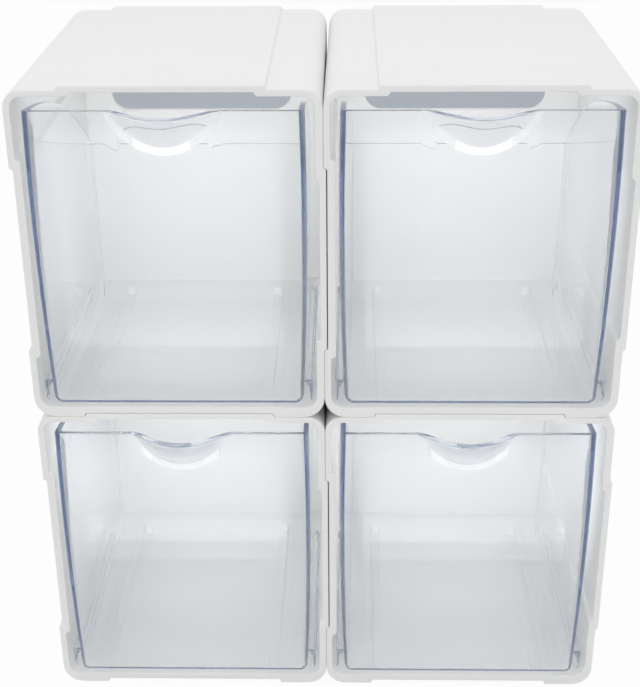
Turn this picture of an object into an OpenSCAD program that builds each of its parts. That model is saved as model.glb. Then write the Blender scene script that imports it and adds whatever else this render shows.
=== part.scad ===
// Four stackable drawer boxes, nested two by two. Each box is two mouldings: an opaque casing with
// interlocking keys on its four sides, and a clear bin that slides in it on two rails.
// X runs to the right, Y from the front to the back, Z up. Millimetres.

/* [Casing] */
// Distance between neighbouring casings, centre to centre
unit_w = 152; // [140:1:200]
// Height that each casing adds to the stack
unit_h = 175; // [150:1:220]
// Length of the casing from its front rim to its back
casing_d = 177; // [165:1:240]
// Thickness of the casing's walls
casing_wall = 3.4; // [2.4:0.1:4]
// Gap between the front rims of neighbouring casings
casing_gap = 0.7; // [0.4:0.1:1.5]
// Radius of the two upper outer corners
top_corner_r = 9; // [6:0.5:14]
// Radius of the two lower outer corners
bottom_corner_r = 11; // [7:0.5:14]
// Depth of the front rim, which stands a little proud of the walls behind it
rim_d = 5; // [3:0.5:12]
// How far the rim stands proud
rim_step = 0.35; // [0.2:0.05:0.8]

/* [Interlock] */
// How far the keys on the top and the right side stand out
key_rise = 2; // [1:0.1:3]
// Extra depth of the grooves underneath and on the left side
key_clear = 0.5; // [0.3:0.1:1]
// Width of the top key, across its flat
top_key_w = 96; // [60:1:104]
// Height of the side key, along its flat
side_key_h = 94; // [50:1:110]
// Height of the middle of the side key above the casing's feet
side_key_z = 87.5; // [80:0.5:95]
// Width of a key's sloping flank
key_flank = 2; // [1:0.5:4]
// How far the inner face of a wall steps after its outer face
step_lag = 5; // [3.5:0.5:8]

/* [Back window] */
// Width of the window in the back wall
window_w = 108; // [60:1:118]
// Height of the window
window_h = 46; // [25:1:50]
// Height of the window's sill above the feet
window_sill = 115.5; // [110:0.5:118]
// Radius of the window's corners
window_r = 10; // [4:0.5:12]

/* [Rails] */
// Distance between the two rails, centre to centre
rail_span = 91; // [50:1:96]
// Width of a rail
rail_w = 6; // [4:0.5:9]
// Height of a rail above the floor
rail_h = 1; // [0.6:0.1:3]
// Distance of the rails' front ends from the front rim
rail_inset = 4; // [2:0.5:15]
// Height of the stop at the back end of each rail
stop_h = 6.5; // [5:0.5:9]
// Thickness of the stop, front to back
stop_t = 3; // [2:0.5:6]

/* [Drawer] */
// Space at each side of the drawer's front, up to the next drawer's half of the gap
side_margin = 9.5; // [8.5:0.1:14]
// Space between the top of the drawer's front and the top of the casing
top_margin = 9.2; // [6:0.1:20]
// Space behind the drawer's foot, up to the casing's back
rear_space = 29; // [24:0.5:50]
// How far the drawer's front stands back from the casing's rim
front_inset = 1.2; // [0.5:0.1:4]
// Thickness of the front panel
front_t = 2.6; // [2:0.1:3.5]
// Thickness of the other walls
drawer_wall = 2.2; // [1.6:0.1:3]
// How much narrower each side is at the back
side_taper = 1.8; // [0:0.1:2.5]
// How far the back leans out by its top
back_lean = 4.5; // [0:0.5:6]
// Height of the back panel
back_h = 95; // [60:1:110]
// Slope of the sides' top edges where they leave the front, in degrees
side_slope = 5; // [3:0.5:9]
// Radius of the lower edges along the sides
drawer_edge_r = 5; // [3.5:0.5:8]
// Radius of the lower edge along the back
drawer_heel_r = 14; // [8:0.5:18]
// Height that the drawer floats over its rails
slide_clear = 0.3; // [0.2:0.05:0.6]

/* [Runners] */
// Space between a side runner and the casing's wall
runner_clear = 2; // [1.2:0.1:3]
// Height of a side runner
runner_h = 12; // [6:0.5:18]
// Thickness of a side runner
runner_t = 1.8; // [1.2:0.1:2.2]
// Distance of the runners from the drawer's front and heel
runner_inset = 5; // [3:0.5:20]

/* [Pull] */
// Width of the flared finger pull
pull_w = 57; // [40:1:80]
// How far the lip stands out from the front
pull_out = 13.3; // [6:0.1:16]
// Height of the flare below the lip, outside
pull_drop = 23.5; // [16:0.5:34]
// Height of the flare below the lip, inside
pull_drop_inside = 16; // [10:0.5:24]
// Thickness of the lip
lip_t = 2.2; // [1.6:0.1:3]
// Radius of the lip's nose
pull_nose_r = 31; // [20:0.5:34]

/* [Hidden] */

$fn = 64;
eps = 0.01;
// How far the flare's arcs run out behind the face of the panel that they die into
run_out = 0.2;
casing_color = [0.93, 0.94, 0.94];
drawer_color = [0.80, 0.86, 0.93, 0.55];

casing_w = unit_w - casing_gap;
groove = key_rise + key_clear;
floor_z = casing_wall + groove;
back_y = casing_d - casing_wall;

drawer_w = unit_w - 2 * side_margin;
drawer_z = floor_z + rail_h + slide_clear;
drawer_top = unit_h - top_margin;
drawer_h = drawer_top - drawer_z;
face_y = front_inset;
inner_face_y = face_y + front_t;
foot_y = casing_d - rear_space;
rear_y = foot_y + back_lean;
back_top = drawer_z + back_h;
runner_x = casing_w / 2 - casing_wall - runner_clear;

// The sides' top edges are one arc, from the front's top to the back's, leaving the front at side_slope
edge_chord = norm([rear_y - face_y, drawer_top - back_top]);
edge_fall = atan2(drawer_top - back_top, rear_y - face_y);
edge_r = edge_chord / 2 / sin(edge_fall - side_slope);
edge_y = face_y - edge_r * sin(side_slope);
edge_z = drawer_top - edge_r * cos(side_slope);

// Where the heel meets the top of the stop
heel_rise = min(stop_h - rail_h - slide_clear, drawer_heel_r);
stop_y = foot_y - drawer_heel_r + sqrt(pow(drawer_heel_r, 2) - pow(drawer_heel_r - heel_rise, 2)) + slide_clear;

// Whole stack: centred across its keys and between the lips and the back
shift_x = -unit_w / 2 - key_rise / 2;
shift_y = -(casing_d + face_y - pull_out) / 2;

// Extrude a front view from y0 to y1
module along_y(y0, y1) {
    translate([0, y1, 0]) rotate([90, 0, 0]) linear_extrude(y1 - y0) children();
}

// Extrude a side view across the part, from x0 to x1
module along_x(x0, x1) {
    translate([x0, 0, 0]) rotate([90, 0, 90]) linear_extrude(x1 - x0) children();
}

// Rectangle about x = 0, standing on y = base, with its own radius below and above
module rounded_block(w, base, h, r_below, r_above) {
    translate([-w / 2, base + r_below]) square([w, h - r_below - r_above]);
    translate([-w / 2 + r_below, base]) square([w - 2 * r_below, r_below + eps]);
    translate([-w / 2 + r_above, base + h - r_above - eps]) square([w - 2 * r_above, r_above + eps]);
    for (side = [-1, 1]) {
        translate([side * (w / 2 - r_below), base + r_below]) circle(r_below);
        translate([side * (w / 2 - r_above), base + h - r_above]) circle(r_above);
    }
}

// Flat-topped key with sloping flanks, rising from y = 0; its foot reaches a little below
module key(flat, rise) {
    polygon([[-flat / 2 - key_flank, -eps], [-flat / 2, rise], [flat / 2, rise], [flat / 2 + key_flank, -eps]]);
}

// A key on each side of a block: above, below, left and right of its walls
module key_above(w, h, flat, rise) { translate([0, h]) key(flat, rise); }
module key_below(flat, rise) { translate([0, -eps]) key(flat, rise + eps); }
module key_left(w, flat, rise) { translate([-w / 2 - eps, side_key_z]) rotate(-90) key(flat, rise + eps); }
module key_right(w, flat, rise) { translate([w / 2, side_key_z]) rotate(-90) key(flat, rise); }

// Front view of the casing's outside, drawn in all round by inset
module casing_outside(inset) {
    w = casing_w - 2 * inset;
    difference() {
        union() {
            rounded_block(w, 0, unit_h, bottom_corner_r, top_corner_r);
            key_above(w, unit_h, top_key_w, key_rise);
            key_right(w, side_key_h, key_rise);
        }
        key_below(top_key_w + key_clear, groove);
        key_left(w, side_key_h + key_clear, groove);
    }
}

// Front view of the casing's inside: each wall steps with the key or groove outside it
module casing_inside() {
    w = casing_w - 2 * casing_wall;
    h = unit_h - 2 * casing_wall;
    difference() {
        union() {
            rounded_block(w, casing_wall, h, bottom_corner_r - casing_wall, top_corner_r - casing_wall);
            key_above(w, casing_wall + h, top_key_w - 2 * step_lag, key_rise);
            key_right(w, side_key_h - 2 * step_lag, key_rise);
        }
        translate([0, casing_wall]) key_below(top_key_w + 2 * step_lag, groove);
        key_left(w, side_key_h + 2 * step_lag, groove);
    }
}

module rails() {
    for (side = [-1, 1]) translate([side * rail_span / 2 - rail_w / 2, 0, floor_z - eps]) {
        translate([0, rail_inset, 0]) cube([rail_w, stop_y + stop_t - rail_inset, rail_h + eps]);
        translate([0, stop_y, 0]) cube([rail_w, stop_t, stop_h + eps]);
    }
}

module casing() {
    color(casing_color) {
        difference() {
            union() {
                along_y(0, casing_d) casing_outside(rim_step);
                along_y(0, rim_d) casing_outside(0);
            }
            along_y(-1, back_y) casing_inside();
            along_y(back_y - 1, casing_d + 1) rounded_block(window_w, window_sill, window_h, window_r, window_r);
        }
        rails();
    }
}

// Side view of the bin, drawn in by inset and by front at the front; rise carries it up past the rim
module bin_side(inset, front, rise) {
    y0 = face_y + front;
    z0 = drawer_z + inset;
    heel_y = foot_y - drawer_heel_r;
    heel_z = drawer_z + drawer_heel_r;
    top = drawer_top + rise;
    difference() {
        union() {
            translate([y0, z0]) square([heel_y - y0 + eps, top - z0]);
            translate([heel_y, heel_z]) square([drawer_heel_r + back_lean + drawer_h, top - heel_z]);
            translate([heel_y, heel_z]) circle(drawer_heel_r - inset);
        }
        translate([foot_y - inset, heel_z]) rotate(-atan2(back_lean, back_top - heel_z))
            translate([0, -drawer_wall]) square([2 * drawer_h, 2 * drawer_h]);
    }
}

// Front view of the bin, drawn in by inset
module bin_front(inset, rise) {
    r = drawer_edge_r - inset;
    w = drawer_w - 2 * inset;
    translate([-w / 2, drawer_z + inset + r]) square([w, drawer_h + rise - inset - r]);
    translate([-w / 2 + r, drawer_z + inset]) square([w - 2 * r, r + eps]);
    for (side = [-1, 1]) translate([side * (w / 2 - r), drawer_z + inset + r]) circle(r);
}

// Plan of the bin, drawn in by inset: its sides close in towards the back
module bin_plan(inset) {
    front = drawer_w / 2 - inset;
    slope = side_taper / foot_y;
    polygon([[-front, 0], [front, 0], [front - slope * casing_d, casing_d], [-front + slope * casing_d, casing_d]]);
}

module bin_block(inset, front, rise) {
    intersection() {
        along_x(-drawer_w, drawer_w) bin_side(inset, front, rise);
        along_y(0, casing_d) bin_front(inset, rise);
        linear_extrude(2 * unit_h) bin_plan(inset);
    }
}

// The curved top edge of the sides, as the side view of all that lies under it
module under_edge() {
    translate([edge_y, edge_z]) circle(edge_r, $fn = 360);
    square([inner_face_y, drawer_top]);
}

// Section of the pull's flare, square to its slope: a round nose of radius nose_r that stands out by
// reach, and runs out into the panel's face at half from its middle through an arc on each side
module flare_section(reach, half, nose_r) {
    side_r = (half * half + reach * reach) / (2 * reach) - nose_r;
    nose = [0, nose_r - reach];
    meet = nose + ([half, -side_r] - nose) * nose_r / (nose_r + side_r);
    difference() {
        union() {
            polygon([[-half, nose_r], [-half, 0], [-meet[0], meet[1]], meet, [half, 0], [half, nose_r]]);
            translate(nose) circle(nose_r);
        }
        for (side = [-1, 1]) translate([side * half, -side_r]) circle(side_r);
    }
}

// The flare in front of the panel's face at plane_y: it leans back from reach in front of the face
// at the rim to the face itself, drop below the rim. It is sunk a little way behind the face, and
// ends over above the rim.
module flare(plane_y, reach, drop, half, nose_r, sunk, over) {
    lean = atan2(reach, drop);
    intersection() {
        translate([0, plane_y + run_out, drawer_top]) rotate([lean, 0, 0]) translate([0, 0, -3 * drop])
            linear_extrude(5 * drop) flare_section((reach + run_out) * cos(lean), half, nose_r);
        translate([-half, plane_y - reach - 1, drawer_top - 2 * drop])
            cube([2 * half, reach + 1 + sunk, 2 * drop + over]);
    }
}

module pull_outside() {
    flare(face_y, pull_out, pull_drop, pull_w / 2, pull_nose_r, 0.75 * front_t, 0);
}

module pull_inside() {
    flare(inner_face_y, pull_out + front_t - lip_t, pull_drop_inside, pull_w / 2 - lip_t,
        pull_nose_r - lip_t, 3, 5);
}

// Angle along the foot of each side, which the casing's walls keep upright
module runners() {
    y0 = face_y + runner_inset;
    length = foot_y - drawer_heel_r - runner_inset - y0;
    for (side = [-1, 1]) mirror([side > 0 ? 0 : 1, 0, 0]) {
        translate([runner_x - runner_t, y0, drawer_z]) cube([runner_t, length, runner_h]);
        translate([drawer_w / 2 - side_taper - drawer_wall / 2, y0, drawer_z + runner_h - runner_t])
            cube([runner_x - drawer_w / 2 + side_taper + drawer_wall / 2 - eps, length, runner_t]);
    }
}

module drawer() {
    color(drawer_color) difference() {
        union() {
            intersection() {
                bin_block(0, 0, 0);
                along_x(-drawer_w, drawer_w) under_edge();
            }
            pull_outside();
            runners();
        }
        bin_block(drawer_wall, front_t, 5);
        translate([drawer_wall + side_taper - drawer_w / 2, rear_y - 2 * drawer_wall, back_top])
            cube([drawer_w - 2 * drawer_wall - 2 * side_taper, casing_d, drawer_h]);
        pull_inside();
    }
}

module place(column, row) {
    translate([column * unit_w + shift_x, shift_y, row * unit_h]) children();
}

place(0, 1) casing();  // casing_upper_left
place(1, 1) casing();  // casing_upper_right
place(0, 0) casing();  // casing_lower_left
place(1, 0) casing();  // casing_lower_right
place(0, 1) drawer();  // drawer_upper_left
place(1, 1) drawer();  // drawer_upper_right
place(0, 0) drawer();  // drawer_lower_left
place(1, 0) drawer();  // drawer_lower_right
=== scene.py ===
import math

import bpy
import numpy as np
from mathutils import Matrix, Vector
from mathutils.geometry import tessellate_polygon


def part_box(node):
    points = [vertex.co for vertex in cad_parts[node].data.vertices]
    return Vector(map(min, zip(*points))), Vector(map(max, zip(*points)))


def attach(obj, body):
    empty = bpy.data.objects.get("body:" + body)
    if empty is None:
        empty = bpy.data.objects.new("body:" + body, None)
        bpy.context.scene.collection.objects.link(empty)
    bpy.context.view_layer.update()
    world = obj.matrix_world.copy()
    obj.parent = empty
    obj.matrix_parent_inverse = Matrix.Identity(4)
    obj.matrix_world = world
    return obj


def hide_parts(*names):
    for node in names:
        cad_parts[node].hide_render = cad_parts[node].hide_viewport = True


bl_info = {
    "name": "Stackable drawer boxes",
    "version": (1, 0, 0),
    "blender": (4, 5, 0),
    "location": "View3D > Sidebar > Drawer boxes",
    "description": "Skins, finishes, light and camera for a block of stackable drawer boxes",
    "category": "Object",
}

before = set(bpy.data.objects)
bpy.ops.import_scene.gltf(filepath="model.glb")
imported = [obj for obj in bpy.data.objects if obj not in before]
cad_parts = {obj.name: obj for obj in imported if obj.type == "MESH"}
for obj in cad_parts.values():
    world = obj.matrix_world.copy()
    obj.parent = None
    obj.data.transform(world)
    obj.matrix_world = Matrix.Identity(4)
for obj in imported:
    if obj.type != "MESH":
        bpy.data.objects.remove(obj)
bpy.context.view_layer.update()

# Lengths are in millimetres, and make_piece turns them into metres. One box is described with x from
# the middle of its rim, y from the rim backwards and z from its feet, and place() puts it in the block.
MM = 0.001
UNITS = ("upper_left", "upper_right", "lower_left", "lower_right")

# casing
LOW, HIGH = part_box("casing_lower_left")
DEPTH = (HIGH.y - LOW.y) / MM
RIM_W, UNIT_H = 151.3, 175.0            # front rim's width, height without the top key
CASING_WALL, FLOOR_Z = 3.4, 5.9         # wall thickness, height of the inner floor beside its low step
DRAFT_OUT, DRAFT_IN, DRAFT_FROM = 0.7, 0.4, 6.0     # what each side comes in by at the back
RIM_R, STEP_R = 0.6, 0.75               # rounding of the rim, and of the keys' and grooves' corners
SEAM, KEY_RISE = 0.62, 2.0              # how far the right side and the keys stand out
# depth of the grooves on the side and below, slope's width, half of the level ones' width and the ends
# of those on the sides
OUTER_STEPS = dict(groove=(1.8, 2.2), flank=0.9, grooves=(49.2, 39.6, 135.4), keys=(49.0, 39.6, 135.4))
INNER_STEPS = dict(groove=(2.5, 0.3), flank=1.5, grooves=(53.0, 35.5, 139.5), keys=(43.5, 45.5, 129.5))
OUTER_R, INNER_R = (11.0, 9.0), (6.5, 5.6)          # corner radii below and above
WINDOW_HALF, WINDOW_Z, WINDOW_R = 54.0, (115.5, 161.5), 10.0

# rails with their stops, sunk a little into the casing's floor
RAIL_X, RAIL_SUNK = 45.5, 5.0
RAIL_HALF, RAIL_Y, RAIL_TOP, RAIL_R = 3.0, (4.0, 148.5), 6.9, 0.45
STOP_HALF, STOP_Y, STOP_TOP, STOP_R = 2.7, (145.6, 148.6), 12.2, 1.2

# drawer
DRAWER_LOW, DRAWER_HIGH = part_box("drawer_lower_left")
BASE, TOP = DRAWER_LOW.z / MM, DRAWER_HIGH.z / MM - 1.5
FACE, FOOT = 1.2, 148.0                 # front and back of its foot
FRONT_T, SIDE_T, BACK_T, FLOOR_T = 2.6, 2.9, 2.2, 1.5
THINNING = 0.35                         # share of a wall's thickness that is lost down to the floor
HALF, TAPER, DRAFT, BULGE = 67.6, 1.8, 2.4, 1.5     # half width, and what it loses and gains
BACK_H, LEAN, SLOPE = 95.0, 4.5, 5.0    # back's height and lean, slope of the sides' edge in front
FRONT_R, REAR_R, EDGE_R = 2.8, 4.0, 0.35            # upright corners, rim
HEEL_R = 14.0
OUTER_FOOT, INNER_FOOT = (5.0, HEEL_R, 2.5), (2.8, HEEL_R - BACK_T, 0.6)    # side, back, front
RUNNER_OUT, RUNNER_LAP, RUNNER_T, RUNNER_H = 70.25, 1.75, 1.3, 12.0
RUNNER_Y = FACE + 5, FOOT - 19

# finger pull, outside and inside: half width, reach, depth of the crease under the rim, and power of the
# crease's arc. The front's points stand close together up to PULL_DENSE from its middle.
PULL_HALF, PULL_DENSE = 28.5, 30.0
PULL_OUT, PULL_IN = (PULL_HALF, 13.3, 21.2, 0.6), (26.3, 11.2, 15.9, 0.85)
LIP_DIP, LEAST_DROP = 0.75, 3.0         # how far the lip sinks in the middle, least depth of the crease

# camera: focal length and picture height in pixels, sensor; place from the rims; pitch, yaw and roll
FOCAL, PICTURE_H, SENSOR = 1365.6, 687, 36
CAMERA_AT, CAMERA_TURN = (11.3, -627.5, 520.0), (25.69, -1.3, -0.47)
BOUNCES = 24
# softboxes: place and size in metres, with the tilt in degrees between them
SOFTBOXES = {"overhead": ((0, -0.15, 1.5), 0.0, (1.4, 1.4)),
             "front": ((0, -1.6, 0.45), 86.0, (2.0, 1.0))}
# fill lamps: height in millimetres, tilt in degrees, size upwards in metres, share of the power; how far
# they stand before the rims in millimetres, width in metres, spread in degrees
FILLS = {"upper": (98.0, 92.0, 0.115, 1.0), "lower": (109.0, 100.0, 0.095, 1.22)}
FILL_AHEAD, FILL_W, FILL_SPREAD = 1.0, 0.11, 140.0
FLOOR_HALF, FLOOR_DROP, FLOOR_GLOW = 16.0, 0.0002, 0.94     # metres, metres, share of glow over matt
SHADOW_CARD_HALF, SHADOW_CARD_Z, SHADOW_CARD_GAP = 58.0, (112.0, 165.0), 1.0     # grey cards of painted shadow behind the windows, millimetres
WHITE = (1.0, 1.0, 1.0, 1.0)


def place(unit):
    """Where a unit stands: the middle of its rim's width, its front rim and its feet."""
    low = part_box("casing_" + unit)[0]
    return np.array([low.x / MM + RIM_W / 2, low.y / MM, low.z / MM])


# ---------------------------------------------------------------- surfaces

def ramp(value, start, end):
    """0 at start and 1 at end, straight in between: (value - start) / (end - start), kept in 0 to 1."""
    return np.clip((value - start) / (end - start), 0, 1)


def rounded_loop(corners, radii, arc=6, straight=3):
    """Closed outline: each corner becomes an arc of its radius, tangent to both sides, with arc + 1
    points, and each side between two arcs is cut into straight parts. Arc centre = corner + bisector *
    radius / sin(half the corner's angle)."""
    p = np.asarray(corners, float)
    r = np.asarray(radii, float)[:, None]
    a = np.roll(p, 1, 0) - p
    b = np.roll(p, -1, 0) - p
    a /= np.linalg.norm(a, axis=1, keepdims=True)
    b /= np.linalg.norm(b, axis=1, keepdims=True)
    half = np.arccos(np.clip((a * b).sum(1, keepdims=True), -1, 1)) / 2
    middle = a + b
    middle /= np.linalg.norm(middle, axis=1, keepdims=True)
    centre = p + middle * r / np.sin(half)
    start = p + a * r / np.tan(half) - centre
    end = p + b * r / np.tan(half) - centre
    turn0 = np.arctan2(start[:, 1], start[:, 0])
    turn = np.arctan2(end[:, 1], end[:, 0]) - turn0
    turn = (turn + math.pi) % (2 * math.pi) - math.pi
    t = np.linspace(0, 1, arc + 1)
    angle = turn0[:, None] + turn[:, None] * t
    arcs = centre[:, None] + r[:, :, None] * np.stack([np.cos(angle), np.sin(angle)], -1)
    k = (np.arange(1, straight) / straight)[None, :, None]
    sides = arcs[:, -1:, :] * (1 - k) + np.roll(arcs, -1, 0)[:, :1, :] * k
    return np.concatenate([arcs, sides], 1).reshape(-1, 2)


def inwards(loop, distance):
    """The same outline moved inwards by distance, square to itself at every point."""
    along = np.roll(loop, -1, 0) - np.roll(loop, 1, 0)
    along /= np.linalg.norm(along, axis=1, keepdims=True)
    x, y = loop.T
    area = (x * np.roll(y, -1) - y * np.roll(x, -1)).sum()
    left = np.stack([-along[:, 1], along[:, 0]], 1)
    return loop + left * distance * (1 if area > 0 else -1)


def at_depth(loop, y):
    """A front view outline as points in space at depth y."""
    return np.stack([loop[:, 0], np.full(len(loop), y), loop[:, 1]], 1)


def rounded_edge(loop, end, depth, inset, arc):
    """Rows of a quarter round for each angle a of arc: at end + depth * (1 - sin a), the outline drawn
    in by inset * (1 - cos a)."""
    return [at_depth(inwards(loop, inset * (1 - math.cos(a))), end + depth * (1 - math.sin(a)))
            for a in arc]


def grid_faces(rows, columns):
    """Quads of a grid of rows x columns points whose last column joins the first."""
    i = np.arange(rows - 1)[:, None] * columns
    j = np.arange(columns)[None, :]
    j2 = (j + 1) % columns
    return np.stack([i + j, i + j2, i + columns + j2, i + columns + j], -1).reshape(-1, 4)


def skin(grid, caps=False):
    """(points, quads, triangles) of a grid of closed outlines, rows x columns x 3. With caps, a fan of
    triangles shuts each end."""
    rows, columns = grid.shape[:2]
    points = grid.reshape(-1, 3)
    quads = grid_faces(rows, columns)
    triangles = np.zeros((0, 3), int)
    if caps:
        j = np.arange(columns)
        n, end = len(points), (rows - 1) * columns
        points = np.concatenate([points, [grid[0].mean(0), grid[-1].mean(0)]])
        triangles = np.concatenate([
            np.stack([np.full(columns, n), (j + 1) % columns, j], 1),
            np.stack([np.full(columns, n + 1), end + j, end + (j + 1) % columns], 1)])
    return points, quads, triangles


def outward(points, quads, triangles):
    """Turns every face round if the solid's signed volume, the sum of its corners' triple products,
    comes out negative."""
    tris = np.concatenate([quads[:, [0, 1, 2]], quads[:, [0, 2, 3]], triangles])
    a, b, c = points[tris[:, 0]], points[tris[:, 1]], points[tris[:, 2]]
    if (a * np.cross(b, c)).sum() < 0:
        quads, triangles = quads[:, ::-1], triangles[:, ::-1]
    return points, quads, triangles


def make_piece(name, solids, material, crease):
    """One mesh object from solids, each (points in millimetres, quads, triangles). Faces are smooth, and
    edges that turn by more than crease degrees stay sharp."""
    points, quads, triangles, n = [], [], [], 0
    for solid in solids:
        p, q, t = outward(*solid)
        points.append(p)
        quads.append(q + n)
        triangles.append(t + n)
        n += len(p)
    points, quads, triangles = (np.concatenate(x) for x in (points, quads, triangles))
    mesh = bpy.data.meshes.new(name)
    mesh.vertices.add(len(points))
    mesh.vertices.foreach_set("co", (points * MM).astype(np.float32).ravel())
    loops = np.concatenate([quads.ravel(), triangles.ravel()]).astype(np.int32)
    mesh.loops.add(len(loops))
    mesh.loops.foreach_set("vertex_index", loops)
    starts = np.concatenate([np.arange(len(quads)) * 4,
                             len(quads) * 4 + np.arange(len(triangles)) * 3])
    mesh.polygons.add(len(starts))
    mesh.polygons.foreach_set("loop_start", starts.astype(np.int32))
    mesh.update(calc_edges=True)
    if mesh.validate():
        raise RuntimeError(name + " has a bad face")
    mesh.polygons.foreach_set("use_smooth", np.ones(len(starts), bool))
    mesh.set_sharp_from_angle(angle=math.radians(crease))
    mesh.materials.append(material)
    piece = bpy.data.objects.new(name, mesh)
    bpy.context.scene.collection.objects.link(piece)
    return piece


# ---------------------------------------------------------------- materials

class Value:
    """A shader socket that is used in sums: an expression on values adds its Math nodes."""

    def __init__(self, paint, socket):
        self.paint, self.socket = paint, socket

    def math(self, operation, other, flip=False):
        a, b = (other, self) if flip else (self, other)
        return self.paint.node("ShaderNodeMath", {"operation": operation}, {0: a, 1: b})

    def __add__(self, other):
        return self.math("ADD", other)

    def __sub__(self, other):
        return self.math("SUBTRACT", other)

    def __mul__(self, other):
        return self.math("MULTIPLY", other)

    def __rsub__(self, other):
        return self.math("SUBTRACT", other, flip=True)

    __radd__, __rmul__ = __add__, __mul__

    def clamp(self):
        return self.paint.node("ShaderNodeClamp", {}, {"Value": self})

    def sister(self, name):
        """Another output of the same node."""
        return Value(self.paint, self.socket.node.outputs[name])


class Paint:
    """A material or world being made: node() adds any node from its type, settings and socket values or
    links."""

    def __init__(self, owner):
        owner.use_nodes = True
        self.owner, self.tree = owner, owner.node_tree
        self.tree.nodes.clear()

    def node(self, kind, settings=None, sockets=None, output=0):
        made = self.tree.nodes.new(kind)
        for key, value in (settings or {}).items():
            setattr(made, key, value)
        for key, value in (sockets or {}).items():
            if isinstance(value, Value):
                self.tree.links.new(value.socket, made.inputs[key])
            else:
                made.inputs[key].default_value = value
        return Value(self, made.outputs[output]) if made.outputs else None

    def place(self):
        return self.node("ShaderNodeTexCoord", output="Object")

    def mix(self, share, first, second):
        """Two shaders mixed: share 0 gives the first."""
        return self.node("ShaderNodeMixShader", {}, {0: share, 1: first, 2: second})

    def mix_colours(self, share, first, second):
        return self.node("ShaderNodeMix", {"data_type": "RGBA"}, {0: share, 6: first, 7: second}, output=2)

    def finish(self, shader, output="ShaderNodeOutputMaterial", **more):
        self.node(output, {}, {"Surface": shader, **more})
        return self.owner


def moulded_white(looks):
    """Satin white moulded plastic: a faint orange-peel ripple and a slow drift of gloss."""
    paint = Paint(bpy.data.materials.new("casing_plastic"))
    where, sway = paint.place(), 0.12
    ripple = paint.node("ShaderNodeTexNoise", {}, {"Vector": where, "Scale": 900.0, "Detail": 2.0})
    drift = paint.node("ShaderNodeTexNoise", {}, {"Vector": where, "Scale": 22.0, "Detail": 3.0})
    bump = paint.node("ShaderNodeBump", {}, {"Strength": 0.08, "Distance": 0.0002, "Height": ripple})
    return paint.finish(paint.node("ShaderNodeBsdfPrincipled", {}, {
        "Base Color": (*looks.colour, 1.0), "Roughness": drift * sway + (looks.roughness - sway / 2),
        "IOR": 1.5, "Normal": bump}))


def clear_plastic(looks):
    """Clear moulded polystyrene: a smooth glass that tints what is seen through it, darkest where it is
    seen edge-on, and lets the lamps' light through to what lies behind."""
    paint = Paint(bpy.data.materials.new("drawer_plastic"))
    shadow = paint.node("ShaderNodeLightPath", output="Is Shadow Ray")
    passed = (shadow + shadow.sister("Is Diffuse Ray") + looks.clearness).clamp()
    glass = paint.node("ShaderNodeBsdfPrincipled", {}, {
        "Base Color": (*looks.colour, 1.0), "Roughness": 0.02, "IOR": looks.bending,
        "Transmission Weight": 1 - looks.haze})
    through = paint.node("ShaderNodeBsdfTransparent", {}, {"Color": (*looks.shade, 1.0)})
    depth = paint.node("ShaderNodeVolumeAbsorption", {}, {
        "Color": (*looks.depth, 1.0), "Density": looks.density})
    return paint.finish(paint.mix(passed, glass, through), Volume=depth)


def floor_white():
    """Matt floor that takes the block's shadow, and glows white to the camera and to what shines or is
    clear. Through the clear plastic it looks greyer."""
    paint = Paint(bpy.data.materials.new("floor_white"))
    seen = paint.node("ShaderNodeLightPath", output="Is Camera Ray")
    clear = seen.sister("Is Transmission Ray")
    matt = paint.node("ShaderNodeBsdfDiffuse", {}, {"Color": (0.9, 0.9, 0.9, 1)})
    faded = paint.mix_colours(clear * 0.5, WHITE, (0.68, 0.7, 0.7, 1))
    glow = paint.node("ShaderNodeEmission", {}, {"Color": faded, "Strength": 1.0})
    share = (seen + clear + seen.sister("Is Glossy Ray")).clamp() * FLOOR_GLOW
    return paint.finish(paint.mix(share, matt, glow))


def card_grey():
    """Painted shadow: grey that shows to the camera alone, and only on the side that the face looks to."""
    paint = Paint(bpy.data.materials.new("card_grey"))
    seen = paint.node("ShaderNodeLightPath", output="Is Camera Ray")
    behind = paint.node("ShaderNodeNewGeometry", output="Backfacing")
    # painted shadow of the ground behind the block, seen through the windows, in a grey that drifts a
    # little
    drift = paint.node("ShaderNodeTexNoise", {}, {"Vector": paint.place(), "Scale": 9.0, "Detail": 1.0})
    shadow_tone = paint.mix_colours(drift, (0.38, 0.41, 0.46, 1), (0.44, 0.475, 0.52, 1))
    grey = paint.node("ShaderNodeEmission", {}, {"Color": shadow_tone, "Strength": 1.0})
    air = paint.node("ShaderNodeBsdfTransparent", {}, {"Color": WHITE})
    return paint.finish(paint.mix(seen * (1 - behind), air, grey))


# ---------------------------------------------------------------- casing

def casing_corners(left, right, base, top, groove, key, flank, grooves, keys):
    """Corners of the casing's front view, from the bottom groove round to the right: a groove below and
    on the left, a key above and on the right. grooves and keys hold half the width of the one on the
    level face and the lowest and highest end of the one on the side; flank is each slope's width."""
    (half_g, low_g, high_g), (half_k, low_k, high_k) = grooves, keys
    side_g, level_g = -left + groove[0], base + groove[1]
    side_k, level_k = key
    return np.array([
        (-half_g - flank, base), (-half_g, level_g), (half_g, level_g), (half_g + flank, base),
        (right, base),
        (right, low_k - flank), (side_k, low_k), (side_k, high_k), (right, high_k + flank),
        (right, top),
        (half_k + flank, top), (half_k, level_k), (-half_k, level_k), (-half_k - flank, top),
        (-left, top),
        (-left, high_g + flank), (side_g, high_g), (side_g, low_g), (-left, low_g - flank),
        (-left, base)])


def corner_radii(below, above):
    """A radius for each of the casing's corners: STEP_R at the keys and grooves."""
    steps = [STEP_R] * 4
    return [*steps, below, *steps, above, *steps, above, *steps, below]


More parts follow.
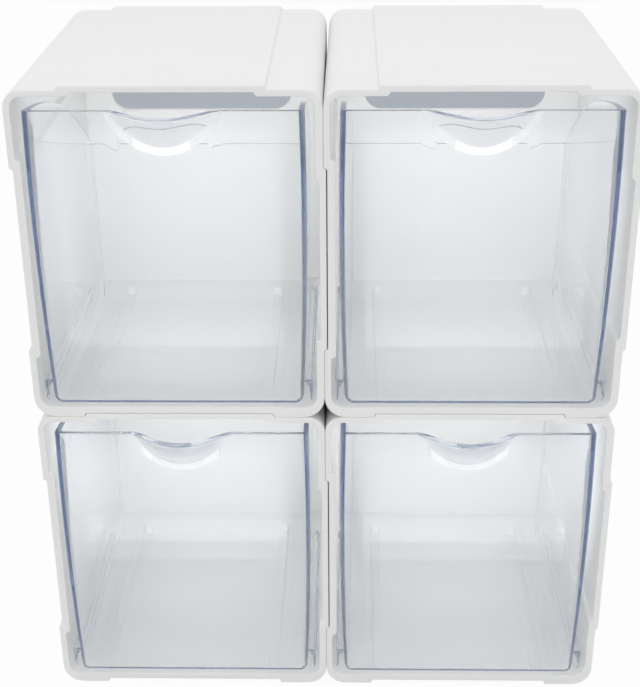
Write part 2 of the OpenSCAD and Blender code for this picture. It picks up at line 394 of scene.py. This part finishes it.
def casing_outside(inset):
    """Outer outline, with both sides drawn in by inset. Away from its key, the right side stands close to
    its neighbour."""
    half = RIM_W / 2 - inset
    corners = casing_corners(half, half + SEAM, 0, UNIT_H, key=(half + KEY_RISE, UNIT_H + KEY_RISE),
                             **OUTER_STEPS)
    return rounded_loop(corners, corner_radii(*OUTER_R))


def casing_inside(inset):
    """Inner outline: every wall steps a little after its outer face does, the floor hardly at all."""
    half, top = RIM_W / 2 - CASING_WALL - inset, UNIT_H - CASING_WALL
    corners = casing_corners(half, half, FLOOR_Z, top, key=(half + KEY_RISE, top + KEY_RISE),
                             **INNER_STEPS)
    return rounded_loop(corners, corner_radii(*INNER_R))


def flat_fill(outline, window, facing_back):
    """Triangles of the flat face between an outline and the window in it, both in the front view, as
    indices into the outline's points followed by the window's."""
    lines = [[Vector((x, z, 0)) for x, z in line] for line in (outline, window)]
    found = np.array(tessellate_polygon(lines))
    p = np.concatenate([outline, window])
    a, b, c = p[found[:, 0]], p[found[:, 1]], p[found[:, 2]]
    turn = (b[:, 0] - a[:, 0]) * (c[:, 1] - a[:, 1]) - (b[:, 1] - a[:, 1]) * (c[:, 0] - a[:, 0])
    real = np.abs(turn) > 1e-9
    found, wrong = found[real], (turn[real] > 0) == facing_back
    found[wrong] = found[wrong][:, ::-1]
    return found


def casing_skin():
    """The casing as one wall carried round: from its rear edge forward along the outside, over the rounded
    rim, and back along the inside. Flat faces with the window in them close it at the back, and a strip
    lines the window. Draft draws the sides in towards the back."""
    arc, back = np.linspace(0, math.pi / 2, 5), DEPTH - CASING_WALL
    front = casing_outside(0)
    rows = [*rounded_edge(casing_outside(DRAFT_OUT), DEPTH, -RIM_R, RIM_R, arc[::-1]),
            at_depth(front, DRAFT_FROM),
            *rounded_edge(front, 0, RIM_R, RIM_R, arc),
            *rounded_edge(casing_inside(0), 0, RIM_R, -RIM_R, arc[::-1]),
            at_depth(casing_inside(DRAFT_IN), back)]
    points, quads, _ = skin(np.array(rows))
    n, total = len(rows[0]), len(points)
    low, high = WINDOW_Z
    window = rounded_loop([(-WINDOW_HALF, low), (WINDOW_HALF, low),
                           (WINDOW_HALF, high), (-WINDOW_HALF, high)], [WINDOW_R] * 4, 12, 6)
    m = len(window)
    strip = grid_faces(2, m) + total
    # the outlines of the flat faces are the last and the first row, and the window's two rings follow
    inner = flat_fill(rows[-1][:, [0, 2]], window, False)
    outer = flat_fill(rows[0][:, [0, 2]], window, True)
    inner = np.where(inner < n, inner + total - n, inner - n + total)
    outer = np.where(outer < n, outer, outer - n + total + m)
    return (np.concatenate([points, at_depth(window, back), at_depth(window, DEPTH)]),
            np.concatenate([quads, strip]), np.concatenate([inner, outer]))


def bar(x, half, y_ends, z0, z1, r):
    """Straight bar with rounded long edges and ends: a rounded outline in the front view, carried from
    one end to the other and drawn in by r * (1 - sin a) at r * (1 - cos a) from each end."""
    loop = rounded_loop([(x - half, z0), (x + half, z0), (x + half, z1), (x - half, z1)], [r] * 4, 4, 2)
    arc, widest = np.linspace(0, math.pi / 2, 4), r * 0.98
    drawn = [min(r * (1 - math.sin(a)), widest) for a in arc]
    step = [r * (1 - math.cos(a)) for a in arc]
    stations = [(d, y_ends[0] + s) for d, s in zip(drawn, step)]
    stations += [(d, y_ends[1] - s) for d, s in zip(drawn[::-1], step[::-1])]
    return skin(np.array([at_depth(inwards(loop, d), y) for d, y in stations]), caps=True)


def rails():
    """The casing's two rails, each with the stop at its back end."""
    return [solid for x in (-RAIL_X, RAIL_X) for solid in (
        bar(x, RAIL_HALF, RAIL_Y, RAIL_SUNK, RAIL_TOP, RAIL_R),
        bar(x, STOP_HALF, STOP_Y, RAIL_SUNK, STOP_TOP, STOP_R))]


# ---------------------------------------------------------------- drawer

def edge_height(y):
    """Height of the sides' top edge at y: one arc from the front's top, where it slopes by SLOPE degrees,
    to the back's."""
    run, fall = FOOT + LEAN - FACE, TOP - BASE - BACK_H
    slope, chord, angle = math.radians(SLOPE), math.hypot(run, fall), math.atan2(fall, run)
    radius = chord / 2 / math.sin(angle - slope)
    y_c, z_c = FACE - radius * math.sin(slope), TOP - radius * math.cos(slope)
    return z_c + np.sqrt(radius ** 2 - (np.clip(y, FACE, FOOT + LEAN) - y_c) ** 2)


def lip_profile(u):
    """Share of the lip's reach at u of the pull's half width: (1 - u^2.1)^1.7, which is level in the
    middle and runs out smoothly at the ends."""
    return (1 - u ** 2.1) ** 1.7


def draft(z):
    """Share of the drawer's width that is left at height z: the sides close in towards the floor and bulge
    a little in between, 1 - (DRAFT * (1 - t) - 4 * BULGE * t * (1 - t)) / HALF at t of the height."""
    t = (z - BASE) / (TOP - BASE)
    return 1 - (DRAFT - 4 * BULGE * t) * (1 - t) / HALF


def drawer_ring():
    """Plan of the drawer's outside, anticlockwise from the right end of its front, with dense points
    across the pull: (points, outward normals)."""
    arc, straight, back, edge = 8, 12, HALF - TAPER, HALF - FRONT_R
    loop = rounded_loop([(HALF, FACE), (back, FOOT), (-back, FOOT), (-HALF, FACE)],
                        [FRONT_R, REAR_R, REAR_R, FRONT_R], arc, straight)
    # the last side of the loop is the front, from left to right: its inner points are laid anew
    loop = loop[:(arc + 1) * 4 + (straight - 1) * 3]
    pull = np.sin(np.linspace(-math.pi / 2, math.pi / 2, 49)) * PULL_DENSE
    beside = np.linspace(-edge, -PULL_DENSE, 5)[1:-1]
    front = np.concatenate([beside, pull, -beside[::-1]])
    loop = np.concatenate([loop, np.stack([front, np.full(len(front), FACE)], 1)])
    along = np.roll(loop, -1, 0) - np.roll(loop, 1, 0)
    along /= np.linalg.norm(along, axis=1, keepdims=True)
    return loop, np.stack([along[:, 1], -along[:, 0]], 1)


def drawer_skin():
    """The drawer as one closed cup: from the middle of its underside out and round the lower edges, up the
    outside, over the rounded rim and down the inside to the middle of its floor. Across the pull the wall
    leans out in a straight line from the crease to the lip."""
    plan, normal = drawer_ring()
    x, y = plan.T
    is_front = np.clip(-normal[:, 1], 0, 1) ** 2
    is_back = np.clip(normal[:, 1], 0, 1) ** 2
    on_front = is_front > 0.9
    near_side = ramp(np.abs(x) / HALF, 0.55, 0.9)
    near_back = ramp(y / FOOT, 0.55, 0.9)
    near_front = ramp(y / FOOT, 0.3, 0.1)
    bare = np.zeros(len(plan))
    thick = SIDE_T + (FRONT_T - SIDE_T) * is_front + (BACK_T - SIDE_T) * is_back

    def lean(z):
        """How far the back leans out at height z, and the sides with it by the square of their place."""
        return LEAN * np.clip(y / FOOT, 0, 1) ** 2 * ramp(z, BASE + HEEL_R, BASE + BACK_H)

    def drawn_in(inset, z):
        """The plan moved inwards by inset, which THINNING makes smaller towards the floor."""
        return plan - normal * (inset * (1 - THINNING * (TOP - z) / (TOP - BASE)))[:, None]

    def wall(inset, z):
        """Points of the wall at height z, moved inwards by inset."""
        p = drawn_in(inset, z)
        return np.stack([p[:, 0] * draft(z), p[:, 1] + lean(z), z], 1)

    def foot(inset, radii, rise, angle):
        """Ring of the lower edge at angle, from 0 at the wall to 90 degrees at the floor."""
        side, rear, front = radii
        c, s = 1 - math.cos(angle), 1 - math.sin(angle)
        z = BASE + rise + s * (side * (1 - is_back - is_front) + rear * is_back + front * is_front)
        p = drawn_in(inset, z)
        return np.stack([(p[:, 0] - np.sign(p[:, 0]) * side * c * near_side) * draft(z),
                         p[:, 1] - rear * c * near_back + front * c * near_front, z], 1)

    def side(inset, low, half, reach, drop, power):
        """Rows of the wall's face from height low up to the rim. Across the pull the crease stands
        drop * cos(u * 90 degrees)^power under the rim, and the lip reaches out by reach."""
        u = np.clip(np.abs(x) / half, 0, 1)
        arch = np.maximum(np.cos(u * math.pi / 2), 0) ** power
        crease = rim - np.maximum(drop * arch * on_front, LEAST_DROP)
        span, reach = rim - crease, reach * lip_profile(u) * on_front
        rows = [wall(inset, low + (crease - low) * k) for k in shares[:-1]]
        for k in shares:
            z = crease + (span - EDGE_R) * k
            row = wall(inset, z)
            row[:, 1] -= reach * (z - crease) / span
            rows.append(row)
        return rows

    def shrunk(ring, share):
        """A level ring drawn in to share of its size about the middle of the foot."""
        middle, out = np.array([0, FOOT / 2]), ring.copy()
        out[:, :2] = middle + (ring[:, :2] - middle) * share
        return out

    back_top, at = BASE + BACK_H, y
    for _ in range(6):      # the edge's height moves the point backwards, and that its height
        rim = np.where(is_back > 0.5, back_top, edge_height(at))
        at = y + lean(rim)
    rim = np.where(on_front, TOP - LIP_DIP * lip_profile(np.clip(np.abs(x) / PULL_HALF, 0, 1)),
                   np.maximum(rim, back_top))

    shares = np.linspace(0, 1, 9)
    turn, quarter = np.linspace(0, math.pi / 2, 8), np.linspace(0, math.pi / 2, 5)
    under = [foot(bare, OUTER_FOOT, 0, a) for a in turn[::-1]]
    inside = [foot(thick, INNER_FOOT, FLOOR_T, a) for a in turn]
    outer = side(bare, under[-1][:, 2], *PULL_OUT)
    inner = side(thick, inside[0][:, 2], *PULL_IN)
    across = inner[-1] - outer[-1]
    across /= np.linalg.norm(across, axis=1, keepdims=True)
    over = [outer[-1] + across * EDGE_R * (1 - math.cos(a)) + [0, 0, EDGE_R * math.sin(a)]
            for a in quarter[1:]]
    over += [inner[-1] - across * EDGE_R * (1 - math.cos(a)) + [0, 0, EDGE_R * math.sin(a)]
             for a in quarter[:0:-1]]
    rows = [shrunk(under[0], 0.05), shrunk(under[0], 0.5), *under, *outer[1:], *over, *inner[::-1],
            *inside[1:], shrunk(inside[-1], 0.5), shrunk(inside[-1], 0.05)]
    return skin(np.array(rows), caps=True)


def runner_skin(side):
    """Angle along the foot of one side: an L-shaped outline carried from front to back."""
    x0, x1, z0, z1, t = HALF - RUNNER_LAP, RUNNER_OUT, BASE, BASE + RUNNER_H, RUNNER_T
    loop = rounded_loop([(x1, z0), (x1, z1), (x0, z1), (x0, z1 - t), (x1 - t, z1 - t), (x1 - t, z0)],
                        [0.4, 0.8, 0.3, 0.3, 0.4, 0.4], 4, 2)
    return skin(np.array([at_depth(loop * [side, 1], y) for y in RUNNER_Y]), caps=True)


# ---------------------------------------------------------------- stage

def add_object(name, data):
    made = bpy.data.objects.new(name, data)
    bpy.context.scene.collection.objects.link(made)
    return made


def add_card(name, points, material):
    """One flat face, in metres."""
    mesh = bpy.data.meshes.new(name)
    mesh.from_pydata(points, [], [(0, 1, 2, 3)])
    mesh.materials.append(material)
    card = add_object(name, mesh)
    return card


def add_camera(scene):
    """Camera whose axes are turned by CAMERA_TURN, its pitch downwards, yaw and roll in degrees."""
    data = bpy.data.cameras.new("camera")
    data.lens, data.sensor_width = FOCAL * SENSOR / PICTURE_H, SENSOR
    pitch, yaw, roll = (math.radians(angle) for angle in CAMERA_TURN)
    ahead = np.array([math.sin(yaw) * math.cos(pitch), math.cos(yaw) * math.cos(pitch), -math.sin(pitch)])
    right = np.array([math.cos(yaw), -math.sin(yaw), 0.0])
    up = np.cross(right, ahead)
    right, up = (right * math.cos(roll) + up * math.sin(roll), up * math.cos(roll) - right * math.sin(roll))
    turn = Matrix([[right[i], up[i], -ahead[i]] for i in range(3)]).to_4x4()
    at = (np.array(CAMERA_AT) + [0, LOW.y / MM, 0]) * MM
    scene.camera = add_object("camera", data)
    scene.camera.matrix_world = Matrix.Translation(at) @ turn


def add_world(scene, looks):
    """Plain white to every ray but the diffuse ones, which get the light."""
    paint = Paint(bpy.data.worlds.new("studio"))
    diffuse = paint.node("ShaderNodeLightPath", output="Is Diffuse Ray")
    white = paint.node("ShaderNodeBackground", {}, {"Color": WHITE, "Strength": 1.0})
    light = paint.node("ShaderNodeBackground", {}, {"Color": (0.995, 0.997, 1, 1), "Strength": looks.light})
    scene.world = paint.finish(paint.mix(1 - diffuse, light, white), "ShaderNodeOutputWorld")


def add_lamp(name, at, tilt, size, power):
    """Rectangular lamp, in metres, that shines downwards at tilt 0 and backwards at 90."""
    data = bpy.data.lights.new(name, "AREA")
    data.shape, data.size, data.size_y, data.energy = "RECTANGLE", *size, power
    lamp = add_object(name, data)
    lamp.location, lamp.rotation_euler = at, (math.radians(tilt), 0, 0)
    lamp.visible_camera = False
    return lamp


def add_lamps(looks):
    """Two softboxes, and a fill lamp in each casing's opening that no clear or shiny face shows."""
    for name, (at, tilt, size) in SOFTBOXES.items():
        add_lamp(name, at, tilt, size, getattr(looks, name))
    for unit in UNITS:
        height, tilt, tall, share = FILLS[unit.split("_")[0]]
        at = (place(unit) + [0, -FILL_AHEAD, height]) * MM
        lamp = add_lamp("fill_" + unit, at, tilt, (FILL_W, tall), looks.fill * share)
        lamp.data.spread = math.radians(FILL_SPREAD)
        lamp.visible_glossy = lamp.visible_transmission = False


# ---------------------------------------------------------------- settings

class CasingLooks(bpy.types.PropertyGroup):
    colour: bpy.props.FloatVectorProperty(
        name="Colour", description="Colour of the casings", subtype="COLOR", size=3,
        default=(0.87, 0.868, 0.86), min=0, max=1)
    roughness: bpy.props.FloatProperty(
        name="Roughness", description="How matt the casings are", subtype="FACTOR",
        default=0.42, min=0, max=1)


class DrawerLooks(bpy.types.PropertyGroup):
    colour: bpy.props.FloatVectorProperty(
        name="Colour", description="Tint of the clear drawers", subtype="COLOR", size=3,
        default=(0.994, 0.9935, 0.991), min=0, max=1)
    shade: bpy.props.FloatVectorProperty(
        name="Shade", description="Tint of light that falls through them", subtype="COLOR", size=3,
        default=(0.992, 0.992, 0.99), min=0, max=1)
    depth: bpy.props.FloatVectorProperty(
        name="Depth tint", description="Colour that thick plastic takes on", subtype="COLOR", size=3,
        default=(0.48, 0.62, 0.83), min=0, max=1)
    density: bpy.props.FloatProperty(
        name="Density", description="How fast that colour builds up, per metre", default=20.0, min=0)
    haze: bpy.props.FloatProperty(
        name="Haze", description="Share of light that the plastic scatters", subtype="FACTOR",
        default=0.03, min=0, max=1)
    clearness: bpy.props.FloatProperty(
        name="Clearness", description="Share of light that goes straight through", subtype="FACTOR",
        default=0.02, min=0, max=1)
    bending: bpy.props.FloatProperty(
        name="Bending", description="Index of refraction of the clear plastic", default=1.5, min=1, max=2)


class StageLooks(bpy.types.PropertyGroup):
    light: bpy.props.FloatProperty(
        name="Light", description="Strength of the light all round", default=0.74, min=0)
    overhead: bpy.props.FloatProperty(
        name="Overhead", description="Power of the overhead softbox", default=4.0, min=0, unit="POWER")
    front: bpy.props.FloatProperty(
        name="Front", description="Power of the softbox in front", default=1.5, min=0, unit="POWER")
    fill: bpy.props.FloatProperty(
        name="Fill", description="Power of the fill light into each casing", default=0.069, min=0,
        unit="POWER")


class BOXES_OT_casings(bpy.types.Operator):
    """Adds the four white casings"""
    bl_idname = "boxes.casings"
    bl_label = "Casings"

    def execute(self, context):
        material = moulded_white(context.scene.casing_looks)
        solids = [casing_skin(), *rails()]
        for unit in UNITS:
            at = place(unit)
            piece = make_piece("skin_" + unit, [(p + at, q, t) for p, q, t in solids], material, crease=35)
            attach(piece, "casings")
            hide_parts("casing_" + unit)
        return {"FINISHED"}


class BOXES_OT_drawers(bpy.types.Operator):
    """Adds the four clear drawers"""
    bl_idname = "boxes.drawers"
    bl_label = "Drawers"

    def execute(self, context):
        material = clear_plastic(context.scene.drawer_looks)
        solids = [drawer_skin(), runner_skin(1), runner_skin(-1)]
        for unit in UNITS:
            at = place(unit)
            piece = make_piece("tray_" + unit, [(p + at, q, t) for p, q, t in solids], material, crease=22)
            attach(piece, "bin_" + unit)
            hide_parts("drawer_" + unit)
        return {"FINISHED"}


class BOXES_OT_stage(bpy.types.Operator):
    """Adds the camera, the light, the pale floor and the grey cards of painted shadow behind the windows"""
    bl_idname = "boxes.stage"
    bl_label = "Stage"

    def execute(self, context):
        scene, looks = context.scene, context.scene.stage_looks
        scene.view_settings.view_transform = "Standard"
        cycles = scene.cycles
        cycles.max_bounces = cycles.transmission_bounces = cycles.glossy_bounces = BOUNCES
        cycles.transparent_max_bounces = BOUNCES
        add_camera(scene)
        add_world(scene, looks)
        add_lamps(looks)
        s = FLOOR_HALF
        floor = add_card("floor", [(-s, -s, 0), (s, -s, 0), (s, s, 0), (-s, s, 0)], floor_white())
        floor.location.z = -FLOOR_DROP
        # the grey cards paint the shadowed ground behind the block that the windows look out on
        grey, (low, high) = card_grey(), SHADOW_CARD_Z
        corners = np.array([(-SHADOW_CARD_HALF, low), (SHADOW_CARD_HALF, low), (SHADOW_CARD_HALF, high), (-SHADOW_CARD_HALF, high)])
        for unit in UNITS:
            points = (at_depth(corners, DEPTH + SHADOW_CARD_GAP) + place(unit)) * MM
            add_card("card_" + unit, points.tolist(), grey)
        return {"FINISHED"}


class BOXES_PT_sidebar(bpy.types.Panel):
    """Lists the block's pieces and their settings"""
    bl_idname = "BOXES_PT_sidebar"
    bl_label = "Drawer boxes"
    bl_space_type = "VIEW_3D"
    bl_region_type = "UI"
    bl_category = "Drawer boxes"

    def draw(self, context):
        scene = context.scene
        for group, operator in ((scene.casing_looks, "boxes.casings"),
                                (scene.drawer_looks, "boxes.drawers"),
                                (scene.stage_looks, "boxes.stage")):
            box = self.layout.box()
            for name in type(group).__annotations__:
                box.prop(group, name)
            box.operator(operator)


CLASSES = (CasingLooks, DrawerLooks, StageLooks, BOXES_OT_casings, BOXES_OT_drawers, BOXES_OT_stage,
           BOXES_PT_sidebar)


def register():
    for cls in CLASSES:
        bpy.utils.register_class(cls)
    bpy.types.Scene.casing_looks = bpy.props.PointerProperty(type=CasingLooks)
    bpy.types.Scene.drawer_looks = bpy.props.PointerProperty(type=DrawerLooks)
    bpy.types.Scene.stage_looks = bpy.props.PointerProperty(type=StageLooks)


def unregister():
    del bpy.types.Scene.stage_looks, bpy.types.Scene.drawer_looks, bpy.types.Scene.casing_looks
    for cls in reversed(CLASSES):
        bpy.utils.unregister_class(cls)


def main():
    register()
    bpy.ops.boxes.stage()
    bpy.ops.boxes.casings()
    bpy.ops.boxes.drawers()


if __name__ == "__main__":
    main()
